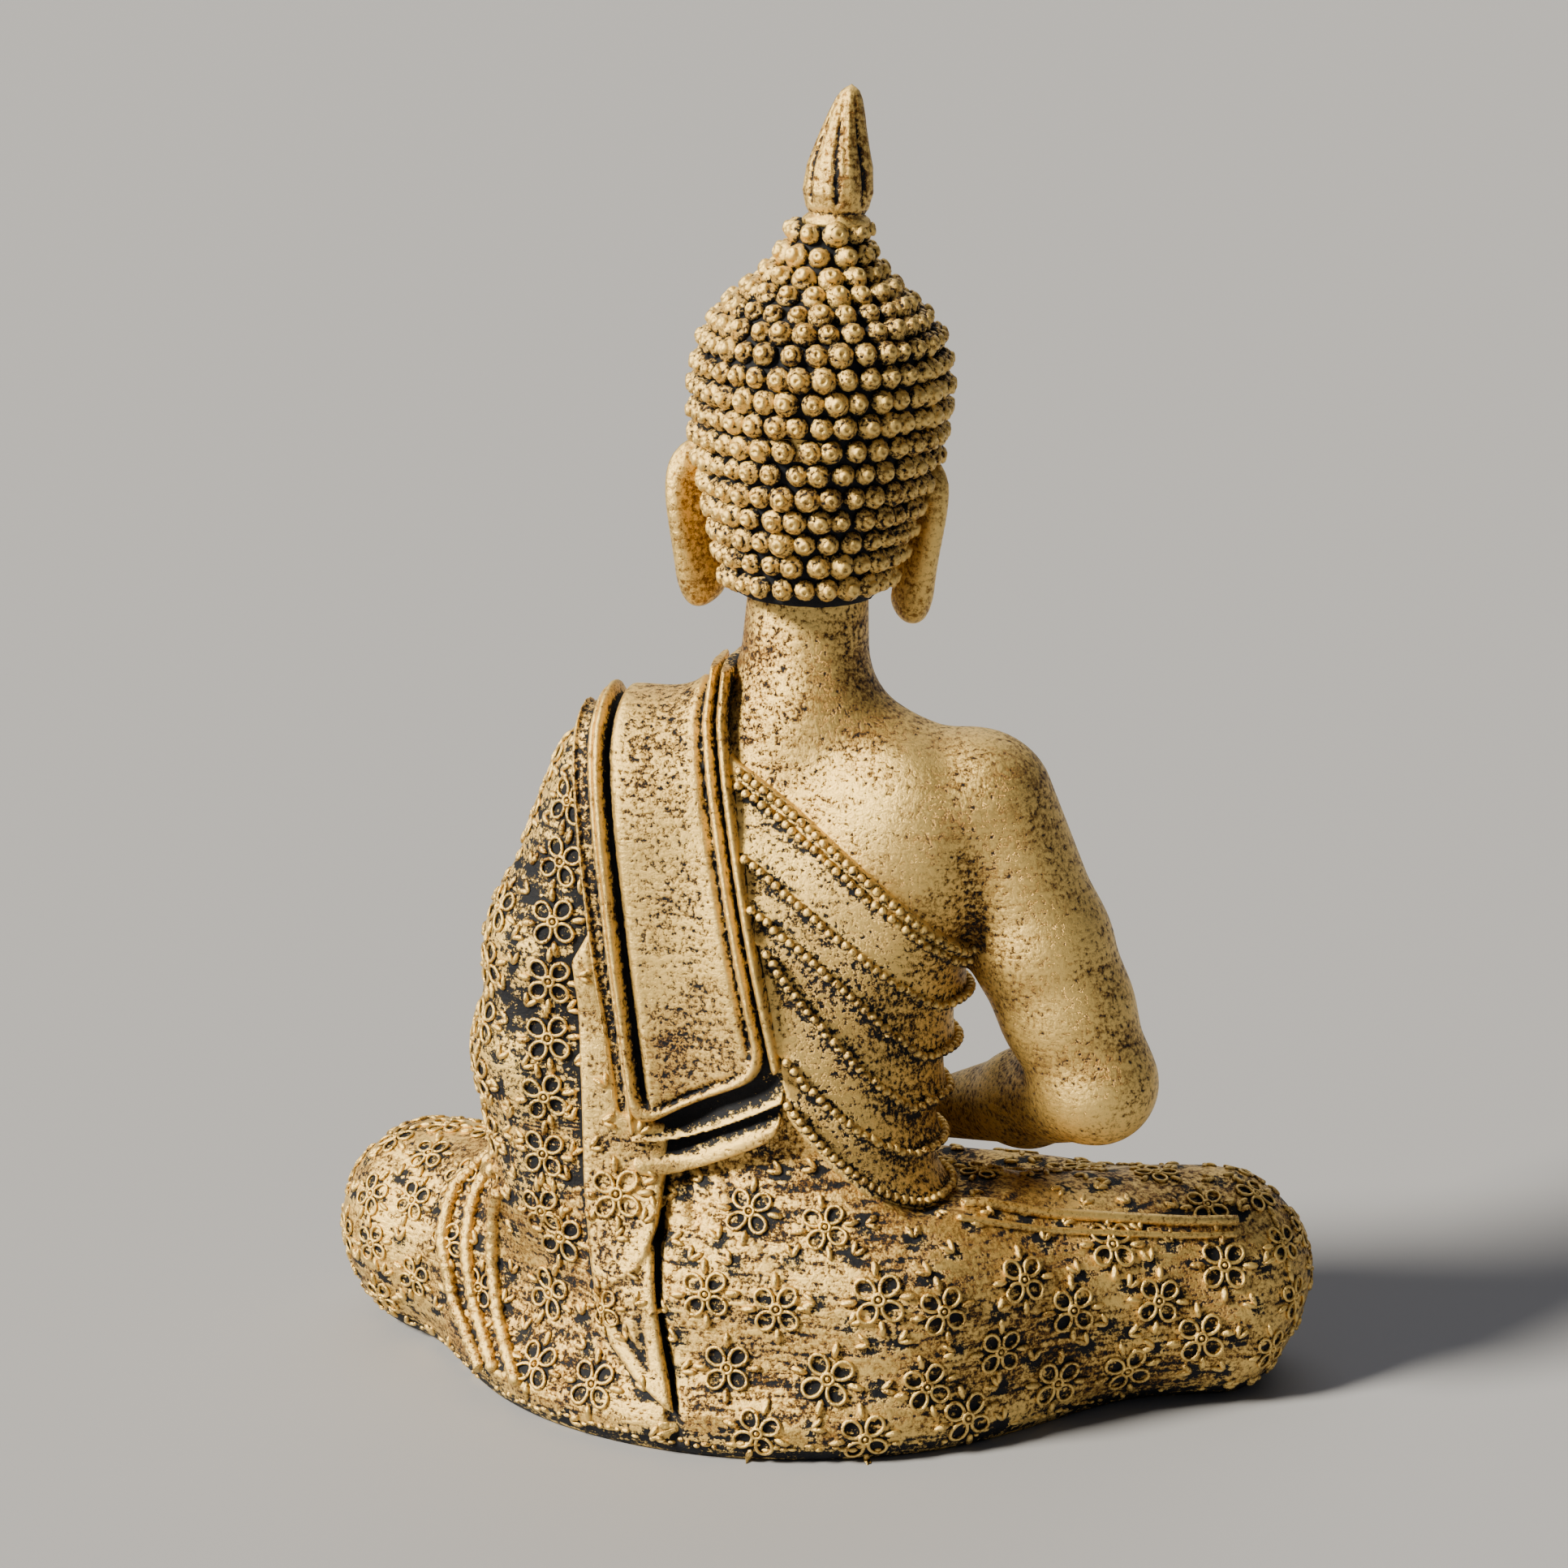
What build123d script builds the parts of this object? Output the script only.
"""Seated meditation figure, cast in resin as separate pieces.

Millimetres.  +Z is up, the figure faces -Y and its left side is +X.  The origin is the middle
of the footprint, on the surface that the figure rests on.  A ball is (x, y, z, radius), and a
limb is the round, tapered solid from one ball to the next.
"""
import os
from math import asin, ceil, cos, degrees, hypot, sin

from build123d import *

# Overall size
HEIGHT = 277.0
WIDTH = 218.0
DEPTH = 122.0

# Casting and cloth thicknesses
WALL = 5.0
DRAPE_CLOTH = 1.4
SASH_CLOTH = 2.2
TAIL_CLOTH = 2.0

# Beads of the trims and of the hem
BEAD_RADIUS = 1.1
HEM_BEAD_RADIUS = 0.9

# Footprint of the robe on the ground: corner circles as (x, y, radius)
SKIRT_HEIGHT = 11.0
BACK_RADIUS = 24.0
KNEE_RADIUS = 13.0
SKIRT_BACK = (0.0, DEPTH / 2 - 2 * HEM_BEAD_RADIUS - BACK_RADIUS, BACK_RADIUS)
SKIRT_KNEE = (WIDTH / 2 - KNEE_RADIUS, -3.0, KNEE_RADIUS)
SKIRT_FRONT = (30.0, -37.0, 14.0)

# Legs
PELVIS = (13.0, 31.0, 31.0, 25.5)
HIP = (20.0, 33.0, 28.0, 24.5)
KNEE = (87.5, -3.0, 22.0, 20.0)
SHIN_HEAD = (86.0, -5.5, 21.0, 19.0)
LAP_CLOTH = (22.0, 3.0, 23.0, 16.5)
LEFT_ANKLE = (-8.0, -36.0, 18.0, 13.0)
RIGHT_ANKLE = (10.0, -34.0, 25.0, 13.0)
LEFT_FOOT = ((-18.0, -43.0, 16.0, 9.0), (-52.0, -38.0, 15.0, 6.5))
RIGHT_FOOT = ((18.0, -36.0, 33.0, 9.0), (46.0, -27.0, 38.0, 6.0))

# Trunk sections as (height, half width, half depth, middle in y)
TRUNK = (
    (34.0, 36.0, 24.5, 28.5),
    (57.0, 28.0, 21.0, 26.0),
    (80.0, 31.0, 21.5, 24.0),
    (103.0, 36.0, 22.5, 23.0),
    (125.0, 40.0, 21.0, 22.0),
    (140.0, 35.0, 17.0, 22.0),
    (152.0, 15.0, 13.0, 21.0),
)
TRUNK_CAVITY_TOP = 138.0
SHOULDER = (38.0, 22.0, 138.0, 13.0)

# Arms
RIGHT_SHOULDER = (-38.5, 22.0, 134.5, 14.3)
RIGHT_ELBOW = (-62.5, 24.5, 74.0, 12.4)
RIGHT_FOREARM = (-62.0, 23.5, 73.5, 12.0)
RIGHT_WRIST = (-25.0, -20.0, 49.0, 7.5)
RIGHT_HAND_ROOT = (-22.5, -21.0, 49.0, 6.8)
CAPE_SHOULDER = (40.0, 22.0, 135.0, 16.0)
CAPE_ELBOW = (54.0, 24.0, 75.0, 17.5)
CAPE_FOOT = (52.0, 24.0, 46.0, 17.0)
CAPE_FILL = ((26.0, 24.0, 122.0, 13.0), (34.0, 25.5, 52.0, 16.0))
LEFT_WRIST = (27.0, -19.0, 46.0, 10.0)
LEFT_HAND_ROOT = (24.0, -20.0, 45.0, 6.7)

# Hands: palms, the first finger's offset from the middle of the palm, its reach, and the step
# to the next finger
RIGHT_PALM = (-4.0, -24.0, 50.0, 6.5)
LEFT_PALM = (6.0, -24.0, 42.0, 6.5)
FINGERS = 4
FIRST_FINGER = 6.9
FINGER_REACH = (24.0, -1.0, 0.5)
FINGER_STEP = (0.0, -4.6, -0.6)
FINGER_RADII = (2.8, 2.2)
THUMB_REACH = (14.0, 7.0, 4.0)
THUMB_RADII = (3.2, 2.4)

# Robe edges.  Outlines are (x, z) points, seen along +Y
DRAPE_EDGE = ((10.0, 143.0), (-37.0, 105.0))
BACK_START = 22.0
SASH_OUTLINE = ((18.0, 165.0), (45.0, 165.0), (45.0, 148.0), (28.0, 74.0), (-1.0, 83.0), (17.0, 148.0))
LAYER_OUTLINE = ((-1.0, 82.5), (28.0, 73.5), (28.0, 61.0), (-2.0, 68.0))
BAND_OUTLINE = ((46.0, 160.0), (54.0, 160.0), (54.0, 148.0), (36.5, 66.0), (29.0, 66.0), (29.0, 74.0),
                (46.0, 148.0))
TAIL_OUTLINE = ((-2.0, 60.0), (36.0, 60.0), (39.0, 32.0), (31.0, 38.0), (24.0, 15.0), (14.0, 34.0),
                (2.0, 28.0))

# Beaded trims as start (x, z), end (x, z) and the sag of the row between them
BEAD_ROWS = (
    ((9.0, 140.0), (-35.0, 104.0), 3.0),
    ((8.0, 128.0), (-33.0, 93.0), 3.0),
    ((7.0, 117.0), (-30.0, 81.0), 3.0),
    ((4.0, 104.0), (-27.0, 71.0), 3.0),
    ((-5.0, 83.0), (-26.0, 63.0), 2.0),
    ((-5.0, 71.0), (-26.0, 59.5), 1.0),
)
BEAD_PITCH = 2.5
HEM_BEAD_PITCH = 4.0
HEM_BEADS = 21
HEM_BEAD_HEIGHT = 3.0

# Head, given upright over the neck and leant as a whole
NECK_FOOT = Vector(0.0, 21.0, 156.0)
HEAD_LEAN = (-0.05, -0.02, 1.0)
NECK = ((0.0, 21.5, 146.0, 13.0), (0.0, 17.0, 178.0, 13.0))
SKULL = ((0.0, 14.0, 212.0, 24.5), (0.0, 9.0, 196.0, 21.5))
JAW = ((0.0, 5.0, 188.0, 18.0), (0.0, -1.0, 177.5, 11.0))
NOSE = ((0.0, -11.0, 201.0, 2.0), (0.0, -14.5, 190.0, 3.2))
HAIR = ((0.0, 15.0, 211.0, 27.5), (0.0, 22.0, 192.0, 20.0))
CROWN = ((0.0, 15.0, 228.0, 15.0), (0.0, 15.0, 238.5, 10.5))
HAIRLINE_FRONT = (0.0, -14.0, 214.0)
HAIRLINE_NORMAL = (0.0, 0.6, 0.8)
EAR_MIDDLE = (24.0, 12.0, 186.0)
EAR_HEIGHT = 36.0
EAR_WIDTH = 11.0
EAR_THICKNESS = 5.5

# Finial: profile points as (radius, height over its foot)
FINIAL_FOOT = (0.0, 15.0, 248.0)
FINIAL_RING = (5.5, 4.0)
FINIAL_GROOVE = (4.6, 5.5)
FINIAL_BELLY = (7.0, 12.5)
FINIAL_WAIST = (4.2, 22.0)
PEG_RADIUS = 2.5
PEG_DEPTH = 9.0

# Fan of cloth in front, base plate and pads
FAN_CENTRE = (0.0, -33.0)
FAN_THICKNESS = 7.0
PLATE_THICKNESS = 3.0
PAD_THICKNESS = 1.5
PAD_RADIUS = 7.0
PAD_PLACES = ((0.0, 40.0), (0.0, -30.0), (78.0, -3.0), (-78.0, -3.0))


def mirrored(ball):
    """The same ball on the other side of the figure."""
    return (-ball[0],) + tuple(ball[1:])


def between(start, end, share):
    """The point or ball a share of the way from start to end."""
    return tuple(a + (b - a) * share for a, b in zip(start, end))


LEGS = (
    (PELVIS, mirrored(PELVIS)),
    (LAP_CLOTH, mirrored(LAP_CLOTH)),
    (HIP, KNEE),
    (mirrored(HIP), mirrored(KNEE)),
    (SHIN_HEAD, LEFT_ANKLE),
    (mirrored(SHIN_HEAD), RIGHT_ANKLE),
)


def limb(start, end, grow=0.0, mode=Mode.ADD):
    """Add to the open part the limb from one ball to the other."""
    centre = Vector(*start[:3])
    run = Vector(*end[:3]) - centre
    near = start[3] + grow
    far = end[3] + grow
    lean = asin((near - far) / run.length)
    turn = degrees(lean)
    with BuildSketch(Plane(origin=centre, x_dir=run, z_dir=run.cross(Vector(0, 1, 0)))) as profile:
        with BuildLine():
            CenterArc((0, 0), near, 180, -90 - turn)
            Line((near * sin(lean), near * cos(lean)), (run.length + far * sin(lean), far * cos(lean)))
            CenterArc((run.length, 0), far, 90 - turn, turn - 90)
            Line((run.length + far, 0), (-near, 0))
        make_face()
    revolve(profile.sketch, axis=Axis(centre, run), mode=mode)


def footprint(shrink=0.0):
    """Draw in the open sketch the outline of the robe on the ground."""
    corners = (SKIRT_BACK, SKIRT_KNEE, mirrored(SKIRT_KNEE), SKIRT_FRONT, mirrored(SKIRT_FRONT))
    for x, y, radius in corners:
        with Locations((x, y)):
            Circle(radius - shrink)
    make_hull()


def seat(grow=0.0, mode=Mode.ADD):
    """Add the crossed legs, the hips and the skirt of the robe round them."""
    with BuildSketch(Plane.XY) as skirt:
        footprint(-grow)
    extrude(skirt.sketch, amount=SKIRT_HEIGHT + grow, mode=mode)
    for start, end in LEGS:
        limb(start, end, grow, mode)


def trunk(grow=0.0, mode=Mode.ADD):
    """Add the trunk from the hips to the foot of the neck, with the shoulders."""
    rings = []
    for height, half_width, half_depth, middle in TRUNK:
        with BuildSketch(Plane.XY.offset(height)) as ring:
            with Locations((0, middle)):
                Ellipse(half_width + grow, half_depth + grow)
        rings.append(ring.sketch)
    loft(rings, mode=mode)
    limb(SHOULDER, mirrored(SHOULDER), grow, mode)


def cape(grow=0.0):
    """Add the robe over the left shoulder and arm."""
    limb(CAPE_SHOULDER, CAPE_ELBOW, grow)
    limb(CAPE_ELBOW, CAPE_FOOT, grow)
    limb(CAPE_FILL[0], CAPE_FILL[1], grow)
    limb(CAPE_ELBOW, LEFT_WRIST, grow)


def keep_outline(outline, front=True):
    """Keep of the open part what lies inside an (x, z) outline, all round or only on the back."""
    with BuildSketch(Plane.XZ.offset(-BACK_START)) as cutout:
        with BuildLine():
            Polyline(*outline, close=True)
        make_face()
    if front:
        extrude(cutout.sketch, amount=DEPTH, both=True, mode=Mode.INTERSECT)
    else:
        extrude(cutout.sketch, amount=-DEPTH, mode=Mode.INTERSECT)


def slanting_plane(edge):
    """The plane through an (x, z) edge and square to the front, facing up."""
    (low_x, low_z), (high_x, high_z) = edge[1], edge[0]
    return Plane(origin=(low_x, 0, low_z), z_dir=(low_z - high_z, 0, high_x - low_x))


def on_head(point):
    """Where an upright point or ball of the head lies once the head leans."""
    place = HEAD_PLANE.from_local_coords(Vector(*point[:3]) - NECK_FOOT)
    return (place.X, place.Y, place.Z) + tuple(point[3:])


def head_limb(balls, mode=Mode.ADD):
    """Add a limb that leans with the head."""
    limb(on_head(balls[0]), on_head(balls[1]), 0.0, mode)


def take_away(*parts):
    """Cut finished pieces out of the open part, so that neighbours meet face to face."""
    for piece in parts:
        add(piece, mode=Mode.SUBTRACT)


def row_places(start, end, sag):
    """The (x, z) places of the beads of one row along its sagging line, a parabola."""
    steps = ceil(hypot(end[0] - start[0], end[1] - start[1]) / BEAD_PITCH)
    for step in range(steps + 1):
        share = step / steps
        x, z = between(start, end, share)
        yield x, z - 4 * sag * share * (1 - share)


def bead(form, x, z, radius):
    """Add one bead that touches the back of a form at a given x and z."""
    hits = form.find_intersection_points(Axis((x, DEPTH, z), (0, -1, 0)))
    point, normal = max(hits, key=lambda hit: hit[0].Y)
    with Locations(point + normal * radius):
        Sphere(radius)


def hand(palm, wrist, toward):
    """Add a hand lying palm up: palm, four fingers and a thumb, pointing to +X or -X."""
    limb(wrist, palm)
    knuckle = (palm[0] + toward * palm[3] / 2, palm[1] + FIRST_FINGER, palm[2], FINGER_RADII[0])
    for number in range(FINGERS):
        root = (knuckle[0], knuckle[1] + FINGER_STEP[1] * number, knuckle[2] + FINGER_STEP[2] * number)
        tip = (root[0] + toward * FINGER_REACH[0], root[1] + FINGER_REACH[1], root[2] + FINGER_REACH[2])
        limb(root + (FINGER_RADII[0],), tip + (FINGER_RADII[1],))
    thumb_tip = (palm[0] + toward * THUMB_REACH[0], palm[1] + THUMB_REACH[1], palm[2] + THUMB_REACH[2])
    limb(palm[:3] + (THUMB_RADII[0],), thumb_tip + (THUMB_RADII[1],))


def write(builder, label):
    """Name a finished piece and write its STEP file."""
    builder.part.label = label
    export_step(builder.part, f"parts/{label}.step")


HEAD_PLANE = Plane(origin=NECK_FOOT, x_dir=(1, 0, -HEAD_LEAN[0]), z_dir=HEAD_LEAN)
FINIAL_PLANE = Plane(origin=on_head(FINIAL_FOOT), x_dir=HEAD_PLANE.x_dir, z_dir=HEAD_PLANE.z_dir)
FINIAL_HEIGHT = (HEIGHT - FINIAL_PLANE.origin.Z) / FINIAL_PLANE.z_dir.Z

os.makedirs("parts", exist_ok=True)
feet = []

# Forms that several pieces are cut from or cut by
with BuildPart() as seat_form:
    seat()

with BuildPart() as trunk_form:
    trunk()

with BuildPart() as drape_form:
    trunk(DRAPE_CLOTH)

with BuildPart() as cape_form:
    cape()

# Legs: a hollow casting, open underneath where the plate closes it
with BuildPart() as lap:
    add(seat_form.part)
    with BuildSketch(Plane.XY):
        footprint(WALL)
    extrude(amount=SKIRT_HEIGHT - WALL, mode=Mode.SUBTRACT)
    for start, end in LEGS:
        limb(start, end, -WALL, Mode.SUBTRACT)
    split(bisect_by=Plane.XY)
write(lap, "lap")

# Trunk and shoulders, hollow up to the shoulders
with BuildPart() as trunk_cavity:
    trunk(-WALL)
    split(bisect_by=Plane.XY.offset(TRUNK_CAVITY_TOP), keep=Keep.BOTTOM)

with BuildPart() as torso:
    add(trunk_form.part)
    take_away(trunk_cavity.part, seat_form.part)
write(torso, "torso")

# Robe round the trunk, below its slanting upper edge
with BuildPart() as robe_drape:
    add(drape_form.part)
    take_away(trunk_form.part, seat_form.part)
    split(bisect_by=slanting_plane(DRAPE_EDGE), keep=Keep.BOTTOM)
write(robe_drape, "robe_drape")

# Cape of the robe over the left shoulder and arm
with BuildPart() as left_sleeve:
    add(cape_form.part)
    take_away(drape_form.part, seat_form.part)
write(left_sleeve, "left_sleeve")

# Bare right arm
with BuildPart() as right_arm:
    limb(RIGHT_SHOULDER, RIGHT_ELBOW)
    limb(RIGHT_FOREARM, RIGHT_WRIST)
    take_away(drape_form.part, seat_form.part)
write(right_arm, "right_arm")

# Folded shoulder cloth, its under-layers and the flat border beside it
with BuildPart() as sash_form:
    trunk(DRAPE_CLOTH + SASH_CLOTH)
    cape(SASH_CLOTH)
    take_away(drape_form.part, cape_form.part, seat_form.part)

with BuildPart() as sash:
    add(sash_form.part)
    keep_outline(SASH_OUTLINE)
write(sash, "sash")

with BuildPart() as sash_underlayer:
    add(sash_form.part)
    keep_outline(LAYER_OUTLINE, front=False)
write(sash_underlayer, "sash_underlayer")

with BuildPart() as border_band:
    add(sash_form.part)
    keep_outline(BAND_OUTLINE)
write(border_band, "border_band")

# Tail of the cloth, down the back of the seat
with BuildPart() as robe_tail:
    add(sash_form.part)
    seat(TAIL_CLOTH)
    keep_outline(TAIL_OUTLINE, front=False)
    take_away(seat_form.part, drape_form.part, cape_form.part)
write(robe_tail, "robe_tail")

# Beaded trims across the back, one node a row
for number, (start, end, sag) in enumerate(BEAD_ROWS, 1):
    with BuildPart() as bead_row:
        for x, z in row_places(start, end, sag):
            bead(drape_form.part, x, z, BEAD_RADIUS)
    write(bead_row, f"bead_row_{number}")

# Small beads along the hem at the back
with BuildPart() as hem_beads:
    for number in range(HEM_BEADS):
        along = (number - (HEM_BEADS - 1) / 2) * HEM_BEAD_PITCH
        bead(seat_form.part, along, HEM_BEAD_HEIGHT, HEM_BEAD_RADIUS)
write(hem_beads, "hem_beads")

# Neck and head
with BuildPart() as head:
    for balls in (NECK, SKULL, JAW, NOSE):
        head_limb(balls)
    take_away(trunk_form.part)
write(head, "head")

# Hair with the crown bump, down to the hairline, with the socket of the finial's peg
with BuildPart() as hair_cap:
    head_limb(HAIR)
    head_limb(CROWN)
    split(bisect_by=Plane(origin=on_head(HAIRLINE_FRONT), x_dir=HEAD_PLANE.x_dir, z_dir=HAIRLINE_NORMAL))
    split(bisect_by=FINIAL_PLANE, keep=Keep.BOTTOM)
    take_away(head.part)
    with BuildSketch(FINIAL_PLANE):
        Circle(PEG_RADIUS)
    extrude(amount=-PEG_DEPTH, mode=Mode.SUBTRACT)
write(hair_cap, "hair_cap")

# Flame finial with its peg
with BuildPart() as finial:
    with BuildSketch(Plane(origin=FINIAL_PLANE.origin, x_dir=FINIAL_PLANE.x_dir, z_dir=-FINIAL_PLANE.y_dir)):
        with BuildLine():
            Polyline((0, -PEG_DEPTH), (PEG_RADIUS, -PEG_DEPTH), (PEG_RADIUS, 0), (FINIAL_RING[0], 0),
                     FINIAL_RING, FINIAL_GROOVE)
            Spline(FINIAL_GROOVE, FINIAL_BELLY, FINIAL_WAIST, (0, FINIAL_HEIGHT))
            Line((0, FINIAL_HEIGHT), (0, -PEG_DEPTH))
        make_face()
    revolve(axis=Axis(FINIAL_PLANE.origin, FINIAL_PLANE.z_dir))
write(finial, "finial")

# Long ears
for label, side in (("left_ear", 1), ("right_ear", -1)):
    middle = on_head((side * EAR_MIDDLE[0],) + EAR_MIDDLE[1:])
    with BuildPart() as ear:
        with BuildSketch(Plane(origin=middle, x_dir=HEAD_PLANE.y_dir, z_dir=HEAD_PLANE.x_dir * side)):
            Ellipse(EAR_WIDTH / 2, EAR_HEIGHT / 2)
        extrude(amount=EAR_THICKNESS / 2, both=True)
        take_away(head.part, hair_cap.part)
    write(ear, label)

# Feet on the crossed legs
for label, (heel, toes) in (("left_foot", LEFT_FOOT), ("right_foot", RIGHT_FOOT)):
    with BuildPart() as foot:
        limb(heel, toes)
        take_away(seat_form.part, left_sleeve.part)
    write(foot, label)
    feet.append(foot.part)

# Hands, the right one lying on the left one
with BuildPart() as left_hand:
    hand(LEFT_PALM, LEFT_HAND_ROOT, -1)
    take_away(left_sleeve.part, right_arm.part, seat_form.part, *feet)
write(left_hand, "left_hand")

with BuildPart() as right_hand:
    hand(RIGHT_PALM, RIGHT_HAND_ROOT, 1)
    take_away(right_arm.part, left_hand.part, left_sleeve.part, seat_form.part, *feet)
write(right_hand, "right_hand")

# Fan of cloth on the ground, in front of the crossed legs
with BuildPart() as lap_fan:
    with BuildSketch(Plane.XY):
        with Locations(FAN_CENTRE):
            Circle(DEPTH / 2 + FAN_CENTRE[1])
    extrude(amount=FAN_THICKNESS)
    take_away(seat_form.part, *feet)
write(lap_fan, "lap_fan")

# Closing plate in the underside, with its pads
with BuildPart() as base_plate:
    with BuildSketch(Plane.XY.offset(PAD_THICKNESS)):
        footprint(WALL)
    extrude(amount=PLATE_THICKNESS)
write(base_plate, "base_plate")

with BuildPart() as felt_pads:
    with BuildSketch(Plane.XY):
        with Locations(*PAD_PLACES):
            Circle(PAD_RADIUS)
    extrude(amount=PAD_THICKNESS)
write(felt_pads, "felt_pads")
